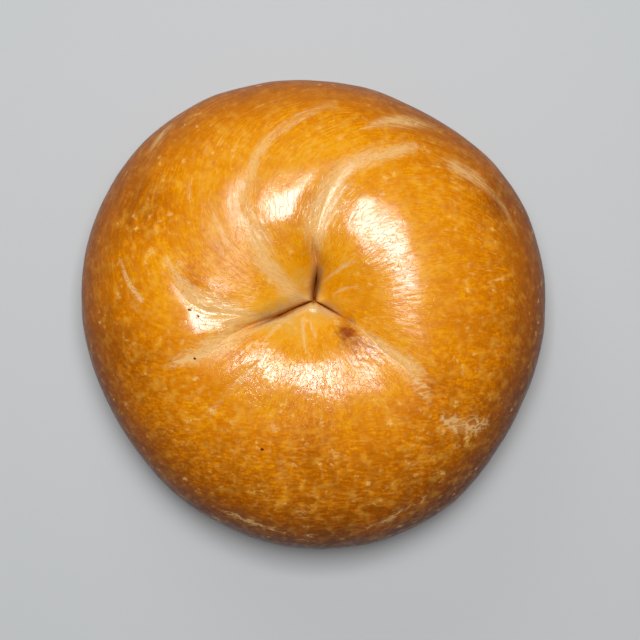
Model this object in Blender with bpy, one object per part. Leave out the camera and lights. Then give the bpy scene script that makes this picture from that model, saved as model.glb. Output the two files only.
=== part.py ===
"""A plain bagel whose hole has proved shut, as one closed solid.

Run it with: blender --background --python part.py
Metres, +Z up. The origin is under the middle of the outline, on the surface that the bagel rests on.
The bagel's half section is turned about Z, and the turned body is then shaped by hand-sized rules:
the outline is brought to its own uneven radii, the hole is moved off centre, and three folds of
dough are pressed into the top and the underside where they met as the ring grew inwards.
"""

import math

import bmesh
import bpy
from mathutils import Vector

# Driving dimensions, in metres and degrees.
OUTLINE_RADII = (
    0.0539,  # every 30 degrees, anticlockwise from +X
    0.0549,
    0.0534,
    0.0542,
    0.0556,
    0.0553,
    0.0535,
    0.0517,
    0.0529,
    0.0545,
    0.0549,
    0.0529,
)
HEIGHT = 0.040  # the crest of the ring above the table
CREST_RADIUS = 0.0225
PINCH_DEPTH = 0.0078  # from the crest down to where the lobes meet, before the folds
PINCH_CENTRE = Vector((0.0004, 0.0029))
WIDEST_HEIGHT = 0.0175
BASE_RADIUS = 0.0385  # outer edge of the flat that the bagel rests on
DIMPLE_RADIUS = 0.0125  # inner edge of that flat
DIMPLE_DEPTH = 0.0065

# Each fold: bearing from +X, how far it reaches from the pinch, and how deep it is there.
TOP_FOLDS = ((90.0, 0.021, 0.0052), (201.0, 0.024, 0.0046), (330.5, 0.019, 0.0042))
BASE_FOLDS = ((75.0, 0.016, 0.0022), (190.0, 0.017, 0.0026), (318.0, 0.015, 0.0020))
FOLD_WIDTH = 0.0042
SLIT_WIDTH = 0.0007
SLIT_SHARE = 0.30  # the part of a fold's depth that lies in its narrow slit

# Fineness of the turned body.
SEGMENTS = 120
TOP_STEPS = 15
SHOULDER_STEPS = 10
FLANK_STEPS = 7
BASE_STEPS = 3
DIMPLE_STEPS = 5

SHOULDER_FULLNESS = 2.06  # 2 is a plain ellipse, and more is squarer
FLANK_FULLNESS = 2.1
TOP_ARC = 0.87  # share of a full quarter ellipse that the inner slope takes
SAME_POINT = 1e-6

MEAN_RADIUS = sum(OUTLINE_RADII) / len(OUTLINE_RADII)


def smooth_step(low, high, value):
    """0 below low, 1 above high, and a smooth change between them."""
    share = min(max((value - low) / (high - low), 0.0), 1.0)
    return share * share * (3 - 2 * share)


def outline_radius(bearing):
    """The outline's radius at a bearing in radians, on a closed cubic through OUTLINE_RADII."""
    count = len(OUTLINE_RADII)
    place = (bearing / math.tau * count) % count
    first = int(place) % count
    share = place - int(place)
    before, start, end, after = (OUTLINE_RADII[(first + step) % count] for step in (-1, 0, 1, 2))
    slope_in = (end - before) / 2
    slope_out = (after - start) / 2
    rise = end - start
    return start + share * (
        slope_in + share * (3 * rise - 2 * slope_in - slope_out + share * (slope_in + slope_out - 2 * rise))
    )


def inner_slope():
    """From the pinch up to the crest: the part of an ellipse that ends where the lobes meet."""
    drop = 1 - math.sqrt(1 - TOP_ARC**2)
    for step in range(TOP_STEPS):
        radius = CREST_RADIUS * step / TOP_STEPS
        away = TOP_ARC * (1 - radius / CREST_RADIUS)
        yield radius, HEIGHT - PINCH_DEPTH * (1 - math.sqrt(1 - away**2)) / drop


def shoulder():
    """From the crest out to the widest ring."""
    for step in range(SHOULDER_STEPS):
        turn = math.pi / 2 * step / SHOULDER_STEPS
        reach = math.sin(turn) ** (2 / SHOULDER_FULLNESS)
        rise = math.cos(turn) ** (2 / SHOULDER_FULLNESS)
        yield (
            CREST_RADIUS + (MEAN_RADIUS - CREST_RADIUS) * reach,
            WIDEST_HEIGHT + (HEIGHT - WIDEST_HEIGHT) * rise,
        )


def flank():
    """From the widest ring in to the edge of the flat base."""
    for step in range(FLANK_STEPS):
        turn = math.pi / 2 * step / FLANK_STEPS
        reach = math.cos(turn) ** (2 / FLANK_FULLNESS)
        fall = math.sin(turn) ** (2 / FLANK_FULLNESS)
        yield BASE_RADIUS + (MEAN_RADIUS - BASE_RADIUS) * reach, WIDEST_HEIGHT * (1 - fall)


def base_and_dimple():
    """The flat that the bagel rests on, and the hollow where the hole was."""
    for step in range(BASE_STEPS):
        yield BASE_RADIUS + (DIMPLE_RADIUS - BASE_RADIUS) * step / BASE_STEPS, 0.0
    for step in range(DIMPLE_STEPS + 1):
        inward = step / DIMPLE_STEPS
        yield DIMPLE_RADIUS * (1 - inward), DIMPLE_DEPTH * smooth_step(0, 1, inward)


def turned_body():
    """The half section, spun once about Z and closed at both ends of the axis."""
    body = bmesh.new()
    section = [*inner_slope(), *shoulder(), *flank(), *base_and_dimple()]
    points = [body.verts.new((radius, 0, height)) for radius, height in section]
    edges = [body.edges.new(pair) for pair in zip(points, points[1:])]
    bmesh.ops.spin(
        body,
        geom=points + edges,
        cent=(0, 0, 0),
        axis=(0, 0, 1),
        angle=math.tau,
        steps=SEGMENTS,
        use_merge=True,
    )
    bmesh.ops.remove_doubles(body, verts=body.verts, dist=SAME_POINT)
    bmesh.ops.recalc_face_normals(body, faces=body.faces)
    return body


def fold_depth(folds, place):
    """How far the folds sink the surface at a place, measured from the pinch."""
    deepest = 0.0
    for bearing, reach, depth in folds:
        line = Vector((math.cos(math.radians(bearing)), math.sin(math.radians(bearing))))
        along = place.dot(line)
        aside = abs(place.cross(line)) if along > 0 else place.length
        fade = 1 - smooth_step(0, reach, place.length)
        valley = (1 - SLIT_SHARE) * math.exp(-aside / FOLD_WIDTH)
        slit = SLIT_SHARE * math.exp(-aside / SLIT_WIDTH)
        deepest = max(deepest, depth * fade * (valley + slit))
    return deepest


def shape(body):
    """Brings the turned body to the bagel's own outline, hole and folds."""
    middle_height = HEIGHT / 2
    for vert in body.verts:
        place = vert.co.xy
        bearing = math.atan2(place.y, place.x)
        outward = smooth_step(0.1, 0.9, place.length / MEAN_RADIUS)
        on_top = vert.co.z > middle_height
        if place.length < BASE_RADIUS and on_top:
            vert.co.z -= fold_depth(TOP_FOLDS, place)
        elif place.length < DIMPLE_RADIUS and not on_top:
            vert.co.z += fold_depth(BASE_FOLDS, place) * smooth_step(0, DIMPLE_DEPTH, vert.co.z)
        place *= 1 + (outline_radius(bearing) / MEAN_RADIUS - 1) * outward
        place += PINCH_CENTRE * (1 - outward)
        vert.co.xy = place


def centre(body):
    """Puts the middle of the bounding box over the origin."""
    for axis in (0, 1):
        places = [vert.co[axis] for vert in body.verts]
        middle = (min(places) + max(places)) / 2
        for vert in body.verts:
            vert.co[axis] -= middle


def crust_material():
    material = bpy.data.materials.new("crust")
    material.use_nodes = True
    shader = material.node_tree.nodes["Principled BSDF"]
    shader.inputs["Base Color"].default_value = (0.62, 0.24, 0.03, 1)
    shader.inputs["Roughness"].default_value = 0.38
    shader.inputs["Metallic"].default_value = 0.0
    return material


def main():
    for old in list(bpy.data.objects):
        bpy.data.objects.remove(old)
    body = turned_body()
    shape(body)
    centre(body)
    mesh = bpy.data.meshes.new("bagel")
    body.to_mesh(mesh)
    body.free()
    mesh.shade_smooth()
    mesh.materials.append(crust_material())
    bpy.context.scene.collection.objects.link(bpy.data.objects.new("bagel", mesh))


main()
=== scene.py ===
import math

import bmesh
import bpy
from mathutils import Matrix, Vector, noise
from mathutils.kdtree import KDTree


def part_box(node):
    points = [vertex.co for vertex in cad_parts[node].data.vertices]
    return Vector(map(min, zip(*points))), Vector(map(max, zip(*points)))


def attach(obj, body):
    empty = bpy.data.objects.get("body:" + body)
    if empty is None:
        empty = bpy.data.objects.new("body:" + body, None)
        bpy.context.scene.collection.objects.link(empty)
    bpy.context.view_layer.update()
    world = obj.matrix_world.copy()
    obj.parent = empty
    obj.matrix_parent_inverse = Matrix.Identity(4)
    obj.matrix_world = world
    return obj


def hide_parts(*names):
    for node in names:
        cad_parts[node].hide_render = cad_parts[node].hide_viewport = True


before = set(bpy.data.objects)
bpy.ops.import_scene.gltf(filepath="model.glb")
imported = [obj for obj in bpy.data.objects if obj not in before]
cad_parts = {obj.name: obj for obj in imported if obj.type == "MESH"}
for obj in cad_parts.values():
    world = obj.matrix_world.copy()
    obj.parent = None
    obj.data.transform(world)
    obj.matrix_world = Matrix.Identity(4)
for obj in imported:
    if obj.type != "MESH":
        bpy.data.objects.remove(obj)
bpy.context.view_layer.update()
low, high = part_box("bagel")
mm = 0.001

# places on the skin are x and y in mm from the pinch where the hole closed, y towards the straight fold

ring = {
    "height": high.z - low.z,
    "radius": (high.x - low.x + high.y - low.y) / 4,
    "crestRadius": 21.5 * mm,
    "pinchDepth": 7.8 * mm,
    "widestHeight": 17.5 * mm,
    "baseRadius": 38.5 * mm,
    "dimpleRadius": 12.5 * mm,
    "dimpleDepth": 6.5 * mm,
    "pinchPlace": Vector((0.4 * mm, 2.9 * mm)),
    "shoulderFullness": 2.06,  # 2 is a plain ellipse, more is squarer
    "flankFullness": 2.1,
    "innerArc": 0.87,  # share of a quarter ellipse before the lobes meet
    "segments": 512,
    "innerSteps": 60,
    "shoulderSteps": 80,
    "flankSteps": 28,
    "baseSteps": 8,
    "dimpleSteps": 12,
    "outlineReach": (0.1, 0.9),  # shares of the radius between which the outline takes over from the pinch
    # every 30 degrees from +x, as shares of the mean radius
    "outline": (0.998, 1.016, 0.989, 1.003, 1.029, 1.024, 0.990, 0.957, 0.979, 1.009, 1.016, 0.979),
}


def smoothStep(start, end, value):
    share = min(max((value - start) / (end - start), 0.0), 1.0)
    return share * share * (3 - 2 * share)


def cubic(before, start, end, after, part):
    slopeIn = (end - before) / 2
    slopeOut = (after - start) / 2
    rise = end - start
    bend = 3 * rise - 2 * slopeIn - slopeOut + part * (slopeIn + slopeOut - 2 * rise)
    return start + part * (slopeIn + part * bend)


def outlineShare(bearing):
    # a closed cubic through the outline's radii
    shares = ring["outline"]
    count = len(shares)
    place = (bearing / math.tau * count) % count
    first = int(place) % count
    part = place - int(place)
    before, start, end, after = (shares[(first + step) % count] for step in (-1, 0, 1, 2))
    return cubic(before, start, end, after, part)


def ringSection():
    # half section from the pinch over the crest, down the flank and in under the base
    crest, widest, height = ring["crestRadius"], ring["widestHeight"], ring["height"]
    arc = ring["innerArc"]
    drop = 1 - math.sqrt(1 - arc**2)
    for step in range(ring["innerSteps"]):
        share = step / ring["innerSteps"]
        away = arc * (1 - share)
        yield crest * share, height - ring["pinchDepth"] * (1 - math.sqrt(1 - away**2)) / drop
    for step in range(ring["shoulderSteps"]):
        turn = math.pi / 2 * step / ring["shoulderSteps"]
        reach = math.sin(turn) ** (2 / ring["shoulderFullness"])
        rise = math.cos(turn) ** (2 / ring["shoulderFullness"])
        yield crest + (ring["radius"] - crest) * reach, widest + (height - widest) * rise
    for step in range(ring["flankSteps"]):
        turn = math.pi / 2 * step / ring["flankSteps"]
        reach = math.cos(turn) ** (2 / ring["flankFullness"])
        fall = math.sin(turn) ** (2 / ring["flankFullness"])
        yield ring["baseRadius"] + (ring["radius"] - ring["baseRadius"]) * reach, widest * (1 - fall)
    for step in range(ring["baseSteps"]):
        share = step / ring["baseSteps"]
        yield ring["baseRadius"] + (ring["dimpleRadius"] - ring["baseRadius"]) * share, 0.0
    for step in range(ring["dimpleSteps"] + 1):
        inward = step / ring["dimpleSteps"]
        yield ring["dimpleRadius"] * (1 - inward), ring["dimpleDepth"] * smoothStep(0, 1, inward)


def turnRing():
    # the section spun once round, with each ring's distance along the skin kept in a layer
    body = bmesh.new()
    along = body.verts.layers.float.new("along")
    points = []
    travelled = 0.0
    for radius, height in ringSection():
        point = body.verts.new((radius, 0, height))
        if points:
            travelled += (point.co - points[-1].co).length
        point[along] = travelled
        points.append(point)
    edges = [body.edges.new(pair) for pair in zip(points, points[1:])]
    bmesh.ops.spin(
        body,
        geom=points + edges,
        cent=(0, 0, 0),
        axis=(0, 0, 1),
        angle=math.tau,
        steps=ring["segments"],
        use_merge=True,
    )
    bmesh.ops.remove_doubles(body, verts=body.verts, dist=0.001 * mm)
    bmesh.ops.recalc_face_normals(body, faces=body.faces)
    return body


folds = {
    # each: bearing, how far it stays tight, depth, roundness of the dough beside it,
    # and the gap at the bottom, where the lobes don't quite meet: length, width, depth
    "top": (
        (90.0, 9.5 * mm, 7.4 * mm, 4.8 * mm, 8.5 * mm, 0.62 * mm, 5.0 * mm),
        (201.2, 14.2 * mm, 5.6 * mm, 3.6 * mm, 17.5 * mm, 0.28 * mm, 2.6 * mm),
        (329.0, 7.8 * mm, 5.2 * mm, 3.8 * mm, 8.0 * mm, 0.20 * mm, 1.6 * mm),
    ),
    "base": (
        (75.0, 7 * mm, 2.2 * mm, 3.0 * mm, 6.0 * mm, 0.3 * mm, 0.5 * mm),
        (190.0, 8 * mm, 2.6 * mm, 3.0 * mm, 7.0 * mm, 0.3 * mm, 0.5 * mm),
        (318.0, 7 * mm, 2.0 * mm, 3.0 * mm, 6.0 * mm, 0.3 * mm, 0.5 * mm),
    ),
    # shares of a fold's tight length, or its gap's, where each of these starts and is complete
    "foldFade": (0.55, 1.6),
    "creaseFade": (0.6, 1.35),
    "gapFade": (0.5, 1.0),
    "gapWidening": (0.0, 0.6),
    "gapNarrow": 0.6,  # the gap's width at the pinch as a share, and what it gains outwards
    "gapGain": 0.8,
    "bow": 0.55 * mm,  # the straight fold's bend to the right
    "bowWidth": 4 * mm,
    "bowLength": 12 * mm,
    "sway": 0.5 * mm,  # how far the folds wander, and over what length
    "swaySize": 8 * mm,
    "swaySeed": 39,  # without one, noise vectors start from the clock
    "creaseWidth": 1.5 * mm,
}

lumps = {
    # places where the ring is fuller: x, y, size, height
    "places": (
        (14.0, 12.0, 9.0, 0.45),
        (-8.0, 16.0, 9.0, 0.35),
        (-1.0, -16.0, 9.0, 0.50),
        (0.0, -0.5, 1.9, 4.40),  # the blunt tip of the lower lobe
    ),
    "slowSize": 26 * mm,
    "slowHeight": 0.55 * mm,
    "softSize": 11 * mm,
    "softHeight": 0.30 * mm,
    "smallSize": 4.2 * mm,
    "smallHeight": 0.07 * mm,
}

twist = {
    # the skin's streaks leave the pinch straight and turn clockwise on their way out
    "start": 12 * mm,
    "rate": 0.045,  # degrees, times the distance from start in mm to this power
    "power": 1.9,
    "middle": 113,  # bearing where the streaks turn the most
    "lobe": (-0.35, 0.5),  # cosines off it between which they begin to turn and turn fully
    "spread": 25 * mm,
    "gather": 0.18,  # how little the streaks widen outwards
    "closest": 0.5 * mm,  # nearer the pinch they gather no further
    "drift": 0.12,  # how fast the pattern changes along a streak
    "tries": 8,  # steps that close in on the bearing where a streak starts
    "rimStart": 48 * mm,  # from here they wrap round the side
    "rimRate": 1.6,  # degrees for each mm
}

# ribbons of stretched, paler skin, with a painted highlight at the lower lobe's tip and a painted sheen on
# the left lobe. Points: x, y, half width in mm, strength.
# Some lie in a broad valley that carries a fold on outwards, with a thin groove along it. Depths in mm.
ribbons = {
    "straightFold": {
        "points": ((0.2, 8.3, 1.0, 0.45), (0.6, 14.4, 2.6, 0.75), (1.9, 20.2, 3.6, 0.9),
                   (4.2, 24.9, 3.2, 0.85), (7.0, 28.8, 2.6, 0.85), (11.6, 31.4, 2.3, 0.85),
                   (22.3, 34.4, 1.3, 0.6)),
        "valley": 1.2,
        "groove": 0.12,
    },
    "rightShoulder": {
        "points": ((29.0, 31.8, 0.8, 0.2), (32.4, 29.6, 1.8, 0.6), (36.8, 27.4, 1.5, 0.6),
                   (40.2, 24.0, 0.9, 0.35), (43.0, 20.5, 0.8, 0.5), (45.8, 15.0, 0.5, 0.3)),
        "valley": 0.2,
    },
    "topPatch": {
        "points": ((10.5, 38.6, 0.6, 0.4), (16.0, 40.2, 1.4, 0.65), (20.5, 40.6, 1.6, 0.7),
                   (27.5, 39.6, 0.9, 0.35)),
    },
    "leftLobe": {
        "points": ((-2.7, -0.5, 1.0, 0.6), (-4.3, 0.9, 1.6, 0.8), (-6.6, 3.4, 2.0, 0.85),
                   (-9.4, 6.6, 2.2, 0.85), (-11.9, 10.7, 2.5, 0.8), (-14.6, 17.9, 3.2, 0.6),
                   (-15.8, 22.6, 2.6, 0.55), (-13.0, 31.2, 1.6, 0.75), (-8.8, 37.0, 1.2, 0.55),
                   (-1.4, 42.3, 1.3, 0.5), (4.7, 44.6, 1.0, 0.35)),
        "valley": 0.3,
        "groove": 0.1,
    },
    "rightFold": {
        "points": ((7.4, -4.2, 0.7, 0.5), (14.6, -10.0, 1.6, 0.7), (20.5, -14.2, 2.4, 0.8),
                   (24.2, -18.8, 2.0, 0.6), (25.8, -22.8, 1.4, 0.25)),
        "valley": 1.0,
        "groove": 0.15,
    },
    "leftFold": {
        "points": ((-12.4, -3.7, 1.0, 0.7), (-18.0, -2.6, 2.6, 0.9), (-23.2, -1.8, 3.4, 0.95),
                   (-27.4, 1.0, 2.6, 0.8), (-30.3, 5.2, 1.4, 0.7), (-32.8, 9.4, 0.8, 0.5)),
        "valley": 0.5,
        "groove": 0.35,
    },
    "leftFoldLower": {
        "points": ((-16.5, -4.4, 1.4, 0.5), (-21.4, -5.2, 2.2, 0.85), (-25.6, -2.8, 1.8, 0.7)),
    },
    "lowerLeft": {
        "points": ((-5.5, -4.2, 0.8, 0.5), (-10.4, -5.2, 1.3, 0.7), (-15.6, -7.0, 2.0, 0.85),
                   (-22.2, -10.2, 2.6, 0.9), (-27.2, -12.6, 2.6, 0.85), (-31.0, -14.2, 2.0, 0.5)),
        "valley": 1.0,
        "groove": 0.15,
    },
    "lowerLeftFaint": {
        "points": ((-11.6, -13.5, 0.6, 0.4), (-15.8, -17.0, 1.0, 0.5), (-22.8, -24.2, 0.9, 0.3)),
        "valley": 0.3,
    },
    "scuff": {
        "points": ((28.8, -26.6, 1.5, 0.75), (33.0, -28.0, 2.5, 0.85), (38.4, -27.6, 1.2, 0.7)),
        "valley": 0.1,
    },
    "lowerRim": {
        "points": ((-22.8, -46.5, 0.5, 0.4), (-14.0, -50.2, 0.9, 0.55), (-5.3, -52.3, 0.6, 0.4)),
        "valley": 0.1,
    },
    "lowerRightRim": {
        "points": ((8.8, -52.3, 0.5, 0.35), (17.0, -49.2, 0.8, 0.45), (24.2, -44.6, 0.6, 0.4)),
    },
    # pale edges of the lower lobe; its middle, on the lobe's tip, is a painted highlight
    "tongueEdgeAndTipGlint": {
        "points": ((-9.0, -4.9, 0.5, 0.3), (-5.2, -3.5, 0.8, 0.55), (-1.8, -1.9, 0.9, 0.8),
                   (0.0, -1.3, 1.0, 1.0), (1.8, -1.9, 0.9, 0.8), (4.4, -3.7, 0.6, 0.4)),
    },
    "leftShoulder": {
        "points": ((-43.2, 9.0, 0.5, 0.4), (-41.6, 4.6, 0.6, 0.8), (-38.2, 0.0, 0.6, 0.95)),
    },
    # pale flecks, partly a painted sheen on the left lobe
    "leftLobeFlecksAndSheen": {
        "points": ((-23.6, 21.0, 1.6, 0.3), (-21.4, 16.0, 2.4, 0.42), (-18.8, 10.6, 2.4, 0.36)),
    },
    "upperLeftDash": {
        "points": ((-27.0, 28.2, 0.4, 0.35), (-27.7, 24.4, 0.5, 0.6), (-27.2, 20.6, 0.4, 0.35)),
    },
    "upperLeftStreak": {
        "points": ((-33.0, 40.0, 0.8, 0.3), (-35.2, 37.4, 1.0, 0.5), (-37.2, 34.0, 0.7, 0.3)),
    },
    "tongueLine": {
        "points": ((-2.0, -3.2, 0.4, 0.5), (-2.6, -4.8, 0.6, 0.85), (-2.4, -7.4, 0.5, 0.85),
                   (-2.0, -11.0, 0.5, 0.6)),
    },
    "tongueLineRight": {
        "points": ((-1.0, -3.8, 0.3, 0.5), (-0.6, -5.6, 0.45, 0.75), (0.4, -8.2, 0.4, 0.6)),
    },
    "tongueLineLeft": {
        "points": ((-6.4, -4.2, 0.4, 0.6), (-8.2, -6.0, 0.55, 0.8), (-10.6, -8.4, 0.55, 0.5)),
    },
    "rightLobeLine": {
        "points": ((2.2, 4.2, 0.35, 0.4), (4.8, 6.4, 0.55, 0.7), (8.8, 8.8, 0.7, 0.55)),
    },
    "rightLobeShortLine": {
        "points": ((4.6, 1.6, 0.35, 0.4), (6.6, 2.6, 0.45, 0.7), (9.0, 3.0, 0.4, 0.45)),
    },
}
valleyWidth = 4.5  # mm
grooveWidth = 0.45
valleyStart = 0.15  # where along the half wave of its depth a valley starts
sampleStep = 0.4  # mm between the points that a ribbon is measured from
ribbonReach = 3  # half widths from its middle where a ribbon has died away

# spots on the skin. Each: x, y and size in mm, strength
embers = ((-37.2, 20.2, 7.0, 0.16), (-1.2, -29.8, 8.0, 0.15), (26.0, -19.0, 5.0, 0.1),
          (-40.0, -12.0, 7.0, 0.1), (-26.4, 5.6, 3.4, 0.17), (40.6, 21.6, 3.6, 0.15),
          (-22.0, 9.0, 3.0, 0.07))
# pale, less baked dough; the strong spot on the lower lobe's tip is a painted highlight
paleDoughAndTipGlint = ((-3.6, 0.4, 3.4, 0.36), (-7.0, -1.6, 3.6, 0.26), (-10.5, -3.6, 4.0, 0.26),
             (0.0, -1.8, 1.8, 0.5), (0.0, -3.4, 3.2, 0.26), (-5.0, -4.6, 3.5, 0.3),
             (0.4, 2.4, 2.8, 0.24), (0.4, 6.0, 1.8, 0.2), (-3.6, 4.2, 3.6, 0.26),
             (2.8, -2.8, 2.8, 0.3))
glossy = ((-5.0, 23.0, 10.0, 1.15), (8.0, 20.0, 8.0, 0.9), (16.0, 12.0, 8.5, 0.95),
          (20.0, 2.0, 7.5, 0.65), (0.0, -17.5, 8.0, 0.8), (-13.0, -17.0, 7.5, 0.95),
          (12.0, -14.0, 6.5, 0.6), (-24.0, -1.5, 6.0, 1.1), (-21.0, 22.0, 5.0, 0.5),
          (0.0, -2.2, 1.8, 1.6))
scorches = ((7.2, -7.2, 2.8, 0.95), (9.0, -9.5, 3.1, 0.72), (10.4, -12.4, 1.8, 0.35),
            (12.0, -10.0, 3.4, 0.5))


def foldDepth(lines, place):
    # the rounded lobes meet in a sharp line, so each wall is a quarter circle
    total = gap = 0.0
    for bearing, tight, depth, roundness, gapLength, gapWidth, gapDepth in lines:
        line = Vector((math.cos(math.radians(bearing)), math.sin(math.radians(bearing))))
        forward = place.dot(line)
        aside = abs(place.cross(line)) if forward > 0 else place.length
        inside = 1 - min(aside / roundness, 1.0)
        fade = 1 - smoothStep(*folds["foldFade"], place.length / tight)
        total += (depth * fade * (1 - math.sqrt(1 - inside * inside))) ** 4
        parted = 1 - smoothStep(*folds["gapFade"], place.length / gapLength)
        widening = smoothStep(*folds["gapWidening"], place.length / gapLength)
        wide = gapWidth * (folds["gapNarrow"] + folds["gapGain"] * widening)
        gap = max(gap, gapDepth * parted * math.exp(-((aside / wide) ** 2)))
    return total**0.25 + gap


def creaseShare(lines, place):
    # 1 down in the line where two lobes meet, fading over the dough beside it
    nearest = 0.0
    for bearing, tight, *_ in lines:
        line = Vector((math.cos(math.radians(bearing)), math.sin(math.radians(bearing))))
        aside = abs(place.cross(line)) if place.dot(line) > 0 else place.length
        fade = 1 - smoothStep(*folds["creaseFade"], place.length / tight)
        nearest = max(nearest, fade * math.exp(-aside / folds["creaseWidth"]))
    return nearest


def ribbonTrees():
    trees = []
    for ribbon in ribbons.values():
        points = [Vector(point) for point in ribbon["points"]]
        points = [2 * points[0] - points[1], *points, 2 * points[-1] - points[-2]]
        samples = []
        for before, start, end, after in zip(points, points[1:], points[2:], points[3:]):
            steps = max(2, round((end.xy - start.xy).length / sampleStep))
            samples += [cubic(before, start, end, after, step / steps) for step in range(steps)]
        samples.append(points[-2])
        tree = KDTree(len(samples))
        for index, sample in enumerate(samples):
            tree.insert((sample.x, sample.y, 0), index)
        tree.balance()
        trees.append((tree, samples, ribbon))
    return trees


def ribbonSink(trees, place):
    # the broad valleys and thin grooves at this place, in metres
    deepest = thin = 0.0
    for tree, samples, ribbon in trees:
        if "valley" in ribbon:
            _, index, off = tree.find((place.x / mm, place.y / mm, 0))
            fade = math.sin(math.pi * (valleyStart + (1 - valleyStart) * index / len(samples)))
            deepest = max(deepest, ribbon["valley"] * fade * math.exp(-((off / valleyWidth) ** 2)))
            thin = max(thin, ribbon.get("groove", 0.0) * fade * math.exp(-off / grooveWidth))
    return (deepest + thin) * mm


def shapeRing(body, trees):
    middle = ring["height"] / 2
    crease = body.verts.layers.float.new("crease")
    noise.seed_set(folds["swaySeed"])
    for v in body.verts:
        place = v.co.xy
        bearing = math.atan2(place.y, place.x)
        outward = smoothStep(*ring["outlineReach"], place.length / ring["radius"])
        onTop = v.co.z > middle
        if onTop:
            v[crease] = creaseShare(folds["top"], place)
            v.co.z -= foldDepth(folds["top"], place) + ribbonSink(trees, place)
            for x, y, size, rise in lumps["places"]:
                off = (place - Vector((x, y)) * mm).length / (size * mm)
                v.co.z += rise * mm * math.exp(-off * off)
        elif place.length < ring["dimpleRadius"]:
            v.co.z += foldDepth(folds["base"], place) * smoothStep(0, ring["dimpleDepth"], v.co.z)
        slow = noise.noise(Vector((place.x, place.y, 0.03)) / lumps["slowSize"])
        v.co.z += lumps["slowHeight"] * slow * smoothStep(0, ring["height"], v.co.z)
        if onTop and place.y > 0:
            near = math.exp(-((place.x / folds["bowWidth"]) ** 2))
            bowed = math.sin(math.pi * smoothStep(0, folds["bowLength"], place.y))
            place.x += folds["bow"] * near * bowed
        sway = noise.noise_vector(Vector((place.x, place.y, v.co.z)) / folds["swaySize"])
        place += sway.xy * folds["sway"] * (1 - outward)
        place *= 1 + (outlineShare(bearing) - 1) * outward
        place += ring["pinchPlace"] * (1 - outward)
        v.co.xy = place


def seatRing(body):
    # back over the middle of the frame's box, giving the place that the pinch has come to
    pinch = ring["pinchPlace"].copy()
    for axis in (0, 1):
        places = [v.co[axis] for v in body.verts]
        off = (min(places) + max(places) - low[axis] - high[axis]) / 2
        for v in body.verts:
            v.co[axis] -= off
        pinch[axis] -= off
    return pinch


def ribbonStrength(trees, place):
    strongest = 0.0
    for tree, samples, _ in trees:
        _, index, off = tree.find((place.x / mm, place.y / mm, 0))
        width, strength = samples[index].z, samples[index].w
        if off < ribbonReach * width:
            strongest = max(strongest, strength * math.exp(-((off / width) ** 2)))
    return strongest


def spotStrength(spots, place):
    strongest = 0.0
    for x, y, size, strength in spots:
        off = (place / mm - Vector((x, y))).length / size
        strongest = max(strongest, strength * math.exp(-off * off))
    return strongest


skin = {
    # where each zone begins and where it is full, along the skin from the pinch
    "walls": (3 * mm, 9 * mm),
    "crestEnd": (24 * mm, 34 * mm),
    "rim": (44 * mm, 56 * mm),
    "underside": (0.8, 0.97),  # how squarely the skin faces down
    "southern": (-0.2, 0.8),  # how far round towards the lower side
    # fine relief: sizes and heights
    "crinkleSize": 0.9 * mm,
    "crinkle": 0.008 * mm,
    "innerCrinkle": 0.016 * mm,
    "pebbleSize": 0.9 * mm,
    "pebble": 0.04 * mm,
    "ribbonGrain": 0.8 * mm,
    "ribbonSink": 0.12 * mm,
    "scorchGrain": 1.1 * mm,
    "scorchHeight": 0.12 * mm,
    "undersideCalm": 0.85,
    # browning, which the side adds to and the flank and the creases' edges take from; painted shade
    # darkens the pit round the pinch and the creases' lines, and adds to the rim's and one side's browning
    "bake": 0.42,
    # painted shade: darker in the pit round the pinch
    "pinchEnd": (3 * mm, 14 * mm),
    "pinchShade": 0.05,
    # darker out to the rim: partly browning, partly painted shade where the rim turns from the light
    "side": (36 * mm, 66 * mm),
    "rimBrowningAndShade": 0.36,
    "flank": (68 * mm, 84 * mm),
    "flankPale": 0.10,
    "shoulder": (22 * mm, 42 * mm),
    "bakedAndShadedSide": -75,  # bearing of the darkest side: partly deeper browning, partly painted shade on the side away from the lamps
    "sideBrowningAndShade": 0.23,
    "shoulderPale": 0.02,
    # painted shade: the creases' lines are darkened where shade falls in them, with some glaze browning
    # there too
    "creaseLine": (0.76, 0.96),
    "creaseShadeAndBrowning": 0.75,
    "creaseEdge": (0.12, 0.6),
    "creasePale": 0.26,
}


def twistShare(bearing):
    return smoothStep(*twist["lobe"], math.cos(bearing - math.radians(twist["middle"])))


def flowPlace(bearing, distance):
    # where the streak through this point set out from, spread so that noise over it follows the streaks
    past = max(distance - twist["start"], 0) ** twist["power"] / mm ** twist["power"]
    turned = math.radians(twist["rate"] * past)
    bearing += math.radians(twist["rimRate"] * max(distance - twist["rimStart"], 0) / mm)
    start = bearing
    for _ in range(twist["tries"]):
        start += 0.5 * (bearing + twistShare(start) * turned - start)
    spread = twist["spread"] * (max(distance, twist["closest"]) / twist["spread"]) ** twist["gather"]
    return Vector((math.cos(start) * spread, math.sin(start) * spread, twist["drift"] * distance))


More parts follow.
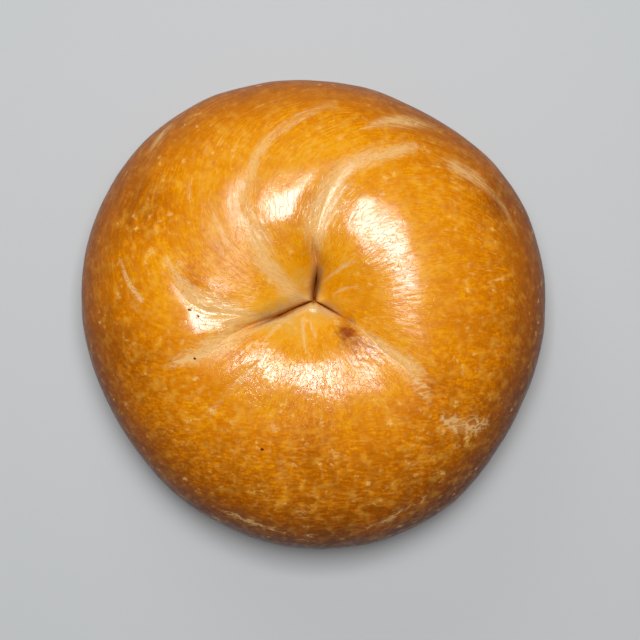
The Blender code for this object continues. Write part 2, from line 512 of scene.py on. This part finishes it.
def detailRing(body, trees, pinch):
    # fine relief along the normals, and what the crust's material reads at each point
    along = body.verts.layers.float["along"]
    crease = body.verts.layers.float["crease"]
    flow = body.verts.layers.float_vector.new("flow")
    tone = body.verts.layers.float_vector.new("tone")
    zone = body.verts.layers.float_vector.new("zone")
    finish = body.verts.layers.float_vector.new("finish")
    body.normal_update()
    moves = []
    for v in body.verts:
        distance = v[along]
        place = v.co.xy - pinch
        bearing = math.atan2(place.y, place.x)
        topSide = v.co.z > ring["widestHeight"]
        streak = flowPlace(bearing, distance)
        inner = smoothStep(*skin["walls"], distance) * (1 - smoothStep(*skin["crestEnd"], distance))
        rim = smoothStep(*skin["rim"], distance)
        under = smoothStep(*skin["underside"], -v.normal.z) * (0 if topSide else 1)
        stretch = ribbonStrength(trees, place) if topSide else 0.0
        burn = spotStrength(scorches, place) if topSide else 0.0
        southern = smoothStep(*skin["southern"], -math.sin(bearing))
        towardsBakedAndShaded = 0.5 + 0.5 * math.cos(bearing - math.radians(skin["bakedAndShadedSide"]))

        relief = lumps["softHeight"] * noise.noise(v.co / lumps["softSize"])
        relief += lumps["smallHeight"] * noise.noise(v.co / lumps["smallSize"])
        crinkle = 1 - 2 * abs(noise.noise(streak / skin["crinkleSize"]))
        relief += (skin["crinkle"] + skin["innerCrinkle"] * inner) * crinkle
        pebbles = noise.noise(v.co / skin["pebbleSize"])
        relief += skin["pebble"] * inner * (0.3 + 0.7 * southern) * pebbles
        relief -= skin["ribbonSink"] * stretch * (1 + noise.noise(streak / skin["ribbonGrain"]))
        relief += skin["scorchHeight"] * burn * (0.6 + 0.8 * noise.noise(v.co / skin["scorchGrain"]))
        relief *= 1 - skin["undersideCalm"] * under
        moves.append((v, v.normal * relief))

        # darker out to the rim, partly browning and partly painted shade
        bake = skin["bake"] + skin["rimBrowningAndShade"] * smoothStep(*skin["side"], distance)
        bake -= skin["flankPale"] * smoothStep(*skin["flank"], distance)
        # darker towards one side: partly browning, partly painted shade on the side away from the lamps
        bake += (skin["sideBrowningAndShade"] * towardsBakedAndShaded - skin["shoulderPale"]) * smoothStep(*skin["shoulder"], distance)
        # painted shade in the pit round the pinch
        bake += skin["pinchShade"] * (1 - smoothStep(*skin["pinchEnd"], distance))
        polish = 0.0
        if topSide:
            # pale dough, with a painted highlight on the lower lobe's tip
            bake += spotStrength(embers, place) - spotStrength(paleDoughAndTipGlint, place)
            # painted shade in the creases' lines, with some glaze browning
            bake += skin["creaseShadeAndBrowning"] * smoothStep(*skin["creaseLine"], v[crease])
            bake -= skin["creasePale"] * smoothStep(*skin["creaseEdge"], v[crease])
            polish = spotStrength(glossy, place)
        v[flow] = streak
        v[tone] = (bake, stretch, burn)
        v[zone] = (inner, rim, under)
        v[finish] = (polish, southern * smoothStep(*skin["crestEnd"], distance), southern)
    for v, move in moves:
        v.co += move
        v.co.z = max(v.co.z, low.z)


def makeBagel():
    body = turnRing()
    trees = ribbonTrees()
    shapeRing(body, trees)
    pinch = seatRing(body)
    detailRing(body, trees, pinch)
    mesh = bpy.data.meshes.new("bagelCrust")
    body.to_mesh(mesh)
    body.free()
    mesh.shade_smooth()
    bagel = bpy.data.objects.new("bagelCrust", mesh)
    bpy.context.scene.collection.objects.link(bagel)
    bagel.data.materials.append(crustMaterial(pinch))
    print("bagel:", len(mesh.vertices), "points")
    return bagel


def paint(red, green, blue):
    # a screen colour of 0 to 255 in the shader's linear values
    shares = [value / 255 for value in (red, green, blue)]
    return tuple(s / 12.92 if s <= 0.04045 else ((s + 0.055) / 1.055) ** 2.4 for s in shares) + (1,)


def addNode(tree, kind, inputs=(), **settings):
    node = tree.nodes.new(kind)
    for name, value in settings.items():
        setattr(node, name, value)
    for name, value in dict(inputs).items():
        if isinstance(value, bpy.types.NodeSocket):
            tree.links.new(value, node.inputs[name])
        else:
            node.inputs[name].default_value = value
    return node


crustLook = {
    # paler to darker, by how long that part of the skin has baked, and by the painted shade added to the
    # browning
    "bakeStops": (
        (0.00, paint(214, 172, 110)),
        (0.18, paint(230, 168, 60)),
        (0.38, paint(236, 154, 0)),
        (0.56, paint(216, 124, 0)),
        (0.78, paint(166, 86, 0)),
        (1.00, paint(92, 40, 0)),
    ),
    "darkShare": 0.4,  # of each swing that is left on its darker side
    "bakeLift": 0.03,
    "rimCalm": 0.45,  # how much less the browning swings on the rim
    "rimThin": 0.5,  # how much less haze and how many fewer flecks are there
    # patterns: size, detail and roughness of the noise, and how far it swings the browning
    "clouds": (14 * mm, 2, 0.5),
    "cloudSwing": 0.30,
    "blotches": (4.5 * mm, 3, 0.6),
    "blotchSwing": 0.38,
    "mottle": (1.5 * mm, 3, 0.65),
    "mottleSwing": 0.36,
    "grain": (0.6 * mm, 2, 0.6),
    "grainSwing": 0.46,
    "streaks": (1.6 * mm, 4, 0.65),
    "streakSwing": 0.26,
    "fibres": (0.5 * mm, 2, 0.6),
    "crossFibres": (0.6 * mm, 1, 0.5),  # on the lower side, where they lie across
    "fibreSwing": 0.56,
    "shortened": (1, 1, 2.4),
    "crossStretch": (0.34, 1, 1),
    # marks: noise or size, then the span over which it comes in, and its colour and share
    "hazeNoise": (2.4 * mm, 4, 0.65),
    "hazeSpan": (0.46, 0.70),
    "hazeShare": 0.42,
    "haze": paint(240, 176, 62),
    "patchNoise": (6 * mm, 2, 0.5),
    "patchSpan": (0.44, 0.60, 0.2, 1.0),
    "crossPatch": 0.04,
    "fleckNoise": (1.3 * mm, 2, 0.55),
    "fleckSpan": (0.57, 0.76),
    "dashNoise": (0.9 * mm, 2, 0.5),
    "crossDashNoise": (1.0 * mm, 2, 0.5),
    "dashSpan": (0.58, 0.76),
    "fleckBase": 0.35,  # share of the flecks that lie outside the haze
    "fleckShare": 0.9,
    "fleck": paint(246, 184, 92),
    "fibreWeave": (0.0, 0.06, 0.3, 1.05),
    "curlNoise": (1.5 * mm, 2, 0.5),
    "curlWeave": (0.015, 0.08, 1.15, 0.35),
    "ribbonTear": 1.3,
    "ribbonSpan": (0.08, 0.74, 0.0, 0.80),
    "paleSkin": paint(236, 190, 124),
    "waveSize": 0.8 * mm,
    "wave": 1.6 * mm,
    "markStretch": (0.8, 1, 1),
    "blisterSize": 2.2 * mm,
    "blisterSpan": (0.30, 0.08),
    "blisterPick": (0.6, 0.8),
    "scabSize": 5.5 * mm,
    "scabSpan": (0.26, 0.08),
    "scabPick": (0.55, 0.9),
    "scabTear": (0.40, 0.55),
    "markShare": 0.6,
    "speck": paint(248, 198, 116),
    "singedSwings": (1.0, 0.8),  # of the mottle and the streaks
    "singedCore": (0.45, 1.05, 0, 0.55),
    "singedEdge": (0.1, 0.6, 0, 0.35),
    "scorchMatt": 0.35,
    "scorched": paint(136, 46, 8),
    "pepperPlaces": ((-27.6, -2.2), (-25.6, -3.6), (-26.4, -12.9), (-11.5, -33.0)),
    "pepperTear": 1.2 * mm,
    "pepperSpan": (0.34 * mm, 0.16 * mm),
    "pepper": paint(80, 34, 12),
    # surface: roughness, and what is added to it by the mottle, ribbons, underside, rim and matt marks
    "roughness": 0.32,
    "roughSwing": 0.3,
    "ribbonRough": 0.10,
    "underRough": 0.28,
    "rimRough": 0.06,
    "mattRough": 0.4,
    "specular": 0.12,
    "coat": 0.9,
    "coatRoughness": 0.17,
    "coatIor": 1.6,
    "glazeSwings": (0.7, 0.4),  # of the blotches and the streaks
    "glazeSpan": (0.1, 0.9, 0.12, 1.0),
    "rimBare": 0.85,
    # relief in the bump: noise, width of the creases in it, and height
    "plateNoise": (1.5 * mm, 1, 0.5),
    "plateWidth": 0.025,
    "plates": 0.5,
    "northPlates": 0.25,  # share of the plates that is left on the upper side
    "pleatNoise": (1.0 * mm, 1, 0.5),
    "pleatWidth": 0.03,
    "pleats": (0.1, 0.4),  # everywhere, and added on the crest
    "fibreRelief": 0.4,
    "grainRelief": 0.2,
    "markRelief": 0.5,
    "fleckRelief": 0.4,
    "mattRelief": -2.0,
    "bumpStrength": 0.8,
    "bumpDepth": 0.05 * mm,
}


def crustMaterial(pinch):
    material = bpy.data.materials.new("bakedCrust")
    material.use_nodes = True
    tree = material.node_tree
    shader = tree.nodes["Principled BSDF"]
    look = crustLook

    def maths(operation, first, second=0.0):
        return addNode(tree, "ShaderNodeMath", {0: first, 1: second}, operation=operation).outputs[0]

    def times(first, second):
        return maths("MULTIPLY", first, second)

    def total(first, *others):
        for other in others:
            first = maths("ADD", first, other)
        return first

    def swing(pattern, amount):
        # a pattern from 0 to 1 made to swing either side of nothing
        return times(maths("SUBTRACT", pattern, 0.5), amount)

    def offMiddle(pattern):
        return maths("ABSOLUTE", maths("SUBTRACT", pattern, 0.5))

    def ranged(value, fromLow, fromHigh, toLow=0.0, toHigh=1.0):
        sockets = {"Value": value, "From Min": fromLow, "From Max": fromHigh}
        sockets.update({"To Min": toLow, "To Max": toHigh})
        node = addNode(tree, "ShaderNodeMapRange", sockets, interpolation_type="SMOOTHSTEP")
        return node.outputs["Result"]

    def mixed(factor, first, second):
        node = addNode(tree, "ShaderNodeMix", {0: factor, 6: first, 7: second}, data_type="RGBA")
        return node.outputs[2]

    def blended(factor, first, second):
        return addNode(tree, "ShaderNodeMix", {0: factor, 2: first, 3: second}).outputs[0]

    def moved(operation, vector, inputs):
        return addNode(tree, "ShaderNodeVectorMath", {0: vector, **inputs}, operation=operation).outputs

    def scaled(vector, shares):
        return moved("MULTIPLY", vector, {1: shares})[0]

    def noisy(vector, size, detail, roughness):
        sockets = {"Vector": vector, "Scale": 1 / size, "Detail": detail, "Roughness": roughness}
        return addNode(tree, "ShaderNodeTexNoise", sockets).outputs["Fac"]

    def cells(vector, size):
        node = addNode(tree, "ShaderNodeTexVoronoi", {"Vector": vector, "Scale": 1 / size})
        pick = addNode(tree, "ShaderNodeSeparateColor", {0: node.outputs["Color"]}).outputs[0]
        return node.outputs["Distance"], pick

    def layer(name):
        return addNode(tree, "ShaderNodeAttribute", attribute_name=name).outputs["Vector"]

    def parts(vector):
        return addNode(tree, "ShaderNodeSeparateXYZ", {0: vector}).outputs[:3]

    place = addNode(tree, "ShaderNodeTexCoord").outputs["Object"]
    flow = layer("flow")
    bake, stretch, burn = parts(layer("tone"))
    inner, rim, under = parts(layer("zone"))
    polish, cross, south = parts(layer("finish"))

    # how far each bit has baked: broad clouds, mottling, and streaks and fibres along the skin
    short = scaled(flow, look["shortened"])
    crossPlace = scaled(place, look["crossStretch"])
    clouds = noisy(place, *look["clouds"])
    blotches = noisy(place, *look["blotches"])
    mottle = noisy(place, *look["mottle"])
    grain = noisy(place, *look["grain"])
    streaks = noisy(flow, *look["streaks"])
    fibres = blended(cross, noisy(short, *look["fibres"]), noisy(crossPlace, *look["crossFibres"]))
    swings = total(
        swing(clouds, look["cloudSwing"]),
        swing(blotches, look["blotchSwing"]),
        swing(mottle, look["mottleSwing"]),
        swing(grain, look["grainSwing"]),
        swing(streaks, look["streakSwing"]),
        swing(fibres, look["fibreSwing"]),
    )
    swings = times(swings, maths("SUBTRACT", 1.0, times(rim, look["rimCalm"])))
    # the paler swings show more
    level = total(bake, maths("MINIMUM", swings, times(swings, look["darkShare"])), look["bakeLift"])
    ramp = addNode(tree, "ShaderNodeValToRGB", {0: level})
    stops = ramp.color_ramp.elements
    for index, (position, colour) in enumerate(look["bakeStops"]):
        stop = stops[index] if index < 2 else stops.new(position)
        stop.position, stop.color = position, colour
    colour = ramp.outputs["Color"]

    # a pale haze and flecks in clusters, where the film of the skin is thin
    haze = ranged(noisy(place, *look["hazeNoise"]), *look["hazeSpan"])
    thin = maths("SUBTRACT", 1.0, times(rim, look["rimThin"]))
    colour = mixed(times(haze, times(thin, look["hazeShare"])), colour, look["haze"])
    patchy = total(noisy(place, *look["patchNoise"]), times(cross, look["crossPatch"]))
    patchy = ranged(patchy, *look["patchSpan"])
    dashes = blended(cross, noisy(short, *look["dashNoise"]), noisy(crossPlace, *look["crossDashNoise"]))
    flecks = ranged(noisy(place, *look["fleckNoise"]), *look["fleckSpan"])
    flecks = maths("MAXIMUM", flecks, ranged(dashes, *look["dashSpan"]))
    flecks = times(flecks, times(patchy, total(haze, look["fleckBase"])))
    colour = mixed(times(flecks, times(thin, look["fleckShare"])), colour, look["fleck"])

    # stretched ribbons, torn into fibres, or into curls on the lower side; at the lower lobe's tip and on
    # the left lobe they also carry a painted highlight and sheen
    curls = ranged(offMiddle(noisy(crossPlace, *look["curlNoise"])), *look["curlWeave"])
    weave = blended(cross, ranged(offMiddle(fibres), *look["fibreWeave"]), curls)
    torn = times(total(stretch, swing(streaks, look["ribbonTear"])), weave)
    ribbon = ranged(torn, *look["ribbonSpan"])
    colour = mixed(ribbon, colour, look["paleSkin"])

    # small pale blisters with ragged edges, and a few larger scabs
    waves = {"Vector": place, "Scale": 1 / look["waveSize"], "Detail": 2}
    bent = addNode(tree, "ShaderNodeTexNoise", waves).outputs["Color"]
    shift = moved("SCALE", bent, {"Scale": look["wave"]})[0]
    wavy = moved("ADD", scaled(place, look["markStretch"]), {1: shift})[0]
    blisterOff, blisterPick = cells(wavy, look["blisterSize"])
    blisters = times(ranged(blisterOff, *look["blisterSpan"]), ranged(blisterPick, *look["blisterPick"]))
    scabOff, scabPick = cells(wavy, look["scabSize"])
    scabs = times(ranged(scabOff, *look["scabSpan"]), ranged(scabPick, *look["scabPick"]))
    scabs = times(scabs, ranged(grain, *look["scabTear"]))
    marks = maths("MAXIMUM", times(blisters, patchy), scabs)
    colour = mixed(times(marks, look["markShare"]), colour, look["speck"])

    # the scorched patch, and dark specks that are matt
    mottleSwing, streakSwing = look["singedSwings"]
    singed = total(burn, swing(mottle, mottleSwing), swing(streaks, streakSwing))
    burned = total(ranged(singed, *look["singedCore"]), ranged(singed, *look["singedEdge"]))
    colour = mixed(burned, colour, look["scorched"])
    matt = times(burned, look["scorchMatt"])
    flat = scaled(place, (1, 1, 0))
    for x, y in look["pepperPlaces"]:
        spot = (pinch.x + x * mm, pinch.y + y * mm, 0)
        off = moved("DISTANCE", flat, {1: spot})["Value"]
        dot = ranged(total(off, swing(grain, look["pepperTear"])), *look["pepperSpan"])
        colour = mixed(dot, colour, look["pepper"])
        matt = maths("MAXIMUM", matt, dot)
    tree.links.new(colour, shader.inputs["Base Color"])

    # roughness, and the glaze, which is strongest on the ring's crest
    gloss = total(
        look["roughness"],
        swing(mottle, look["roughSwing"]),
        times(ribbon, look["ribbonRough"]),
        times(under, look["underRough"]),
        times(rim, look["rimRough"]),
        times(matt, look["mattRough"]),
    )
    tree.links.new(gloss, shader.inputs["Roughness"])
    shader.inputs["Specular IOR Level"].default_value = look["specular"]
    bare = maths("MAXIMUM", maths("MAXIMUM", under, matt), times(rim, look["rimBare"]))
    blotchSwing, streakSwing = look["glazeSwings"]
    glaze = total(polish, swing(blotches, blotchSwing), swing(streaks, streakSwing))
    glaze = times(ranged(glaze, *look["glazeSpan"]), look["coat"])
    glaze = times(maths("SUBTRACT", 1.0, bare), glaze)
    tree.links.new(glaze, shader.inputs["Coat Weight"])
    shader.inputs["Coat Roughness"].default_value = look["coatRoughness"]
    shader.inputs["Coat IOR"].default_value = look["coatIor"]

    # fine relief: thin creases between smooth plates on the ring's crest, fibres and blisters
    crackled = times(inner, total(look["northPlates"], times(south, 1 - look["northPlates"])))
    plates = ranged(offMiddle(noisy(place, *look["plateNoise"])), 0.0, look["plateWidth"])
    pleats = ranged(offMiddle(noisy(short, *look["pleatNoise"])), 0.0, look["pleatWidth"])
    pleatBase, crestPleats = look["pleats"]
    relief = total(
        times(plates, times(crackled, look["plates"])),
        times(pleats, total(pleatBase, times(inner, crestPleats))),
        times(fibres, look["fibreRelief"]),
        times(grain, look["grainRelief"]),
        times(marks, look["markRelief"]),
        times(flecks, look["fleckRelief"]),
        times(matt, look["mattRelief"]),
    )
    sockets = {"Height": relief, "Strength": look["bumpStrength"], "Distance": look["bumpDepth"]}
    bump = addNode(tree, "ShaderNodeBump", sockets)
    tree.links.new(bump.outputs[0], shader.inputs["Normal"])
    tree.links.new(bump.outputs[0], shader.inputs["Coat Normal"])
    return material


floorLook = {"size": 3.0, "colour": (0.56, 0.57, 0.58, 1), "roughness": 0.8}


def makeFloor():
    body = bmesh.new()
    bmesh.ops.create_grid(body, x_segments=1, y_segments=1, size=floorLook["size"] / 2)
    mesh = bpy.data.meshes.new("floor")
    body.to_mesh(mesh)
    body.free()
    material = bpy.data.materials.new("paleFloor")
    material.use_nodes = True
    shader = material.node_tree.nodes["Principled BSDF"]
    shader.inputs["Base Color"].default_value = floorLook["colour"]
    shader.inputs["Roughness"].default_value = floorLook["roughness"]
    mesh.materials.append(material)
    floor = bpy.data.objects.new("floor", mesh)
    bpy.context.scene.collection.objects.link(floor)


studio = {
    "lens": 100,
    "frameWidth": 149 * mm,
    "aim": (1.5 * mm, -1.3 * mm),
    # each lamp: degrees from straight up, bearing, distance, width, height, watts
    "lamps": {
        "softbox": (10, 86, 0.75, 0.30, 0.30, 5.2),
        "backFill": (58, 110, 0.9, 0.6, 0.4, 1.4),  # lights the side but isn't seen in the gloss
    },
    "colours": {"softbox": (1, 1, 1), "backFill": (0.84, 0.97, 1.0)},
    "ambient": (0.9, 0.95, 1.0, 1),
    "ambientStrength": 0.07,
}


def makeCamera():
    data = bpy.data.cameras.new("camera")
    data.lens = studio["lens"]
    data.clip_start, data.clip_end = 0.01, 20
    camera = bpy.data.objects.new("camera", data)
    away = studio["frameWidth"] * data.lens / data.sensor_width
    camera.location = (*studio["aim"], ring["widestHeight"] + away)
    bpy.context.scene.collection.objects.link(camera)
    bpy.context.scene.camera = camera


def makeLights():
    target = Vector((0, 0, ring["height"] / 2))
    for name, (tilt, bearing, distance, width, depth, watts) in studio["lamps"].items():
        tilt, bearing = math.radians(tilt), math.radians(bearing)
        aside = math.sin(tilt)
        back = Vector((aside * math.cos(bearing), aside * math.sin(bearing), math.cos(tilt)))
        data = bpy.data.lights.new(name, "AREA")
        data.shape = "RECTANGLE"
        data.size, data.size_y = width, depth
        data.energy = watts
        data.color = studio["colours"][name]
        lamp = bpy.data.objects.new(name, data)
        lamp.location = target + back * distance
        lamp.visible_glossy = name == "softbox"
        lamp.rotation_mode = "QUATERNION"
        lamp.rotation_quaternion = back.to_track_quat("Z", "Y")
        bpy.context.scene.collection.objects.link(lamp)
    world = bpy.data.worlds.new("studio")
    world.use_nodes = True
    background = world.node_tree.nodes["Background"]
    background.inputs["Color"].default_value = studio["ambient"]
    background.inputs["Strength"].default_value = studio["ambientStrength"]
    bpy.context.scene.world = world
    bpy.context.scene.view_settings.view_transform = "Standard"


makeCamera()
bagel = makeBagel()
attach(bagel, "root")
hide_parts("bagel")
makeFloor()
makeLights()
print("studio: floor, lamps and camera")
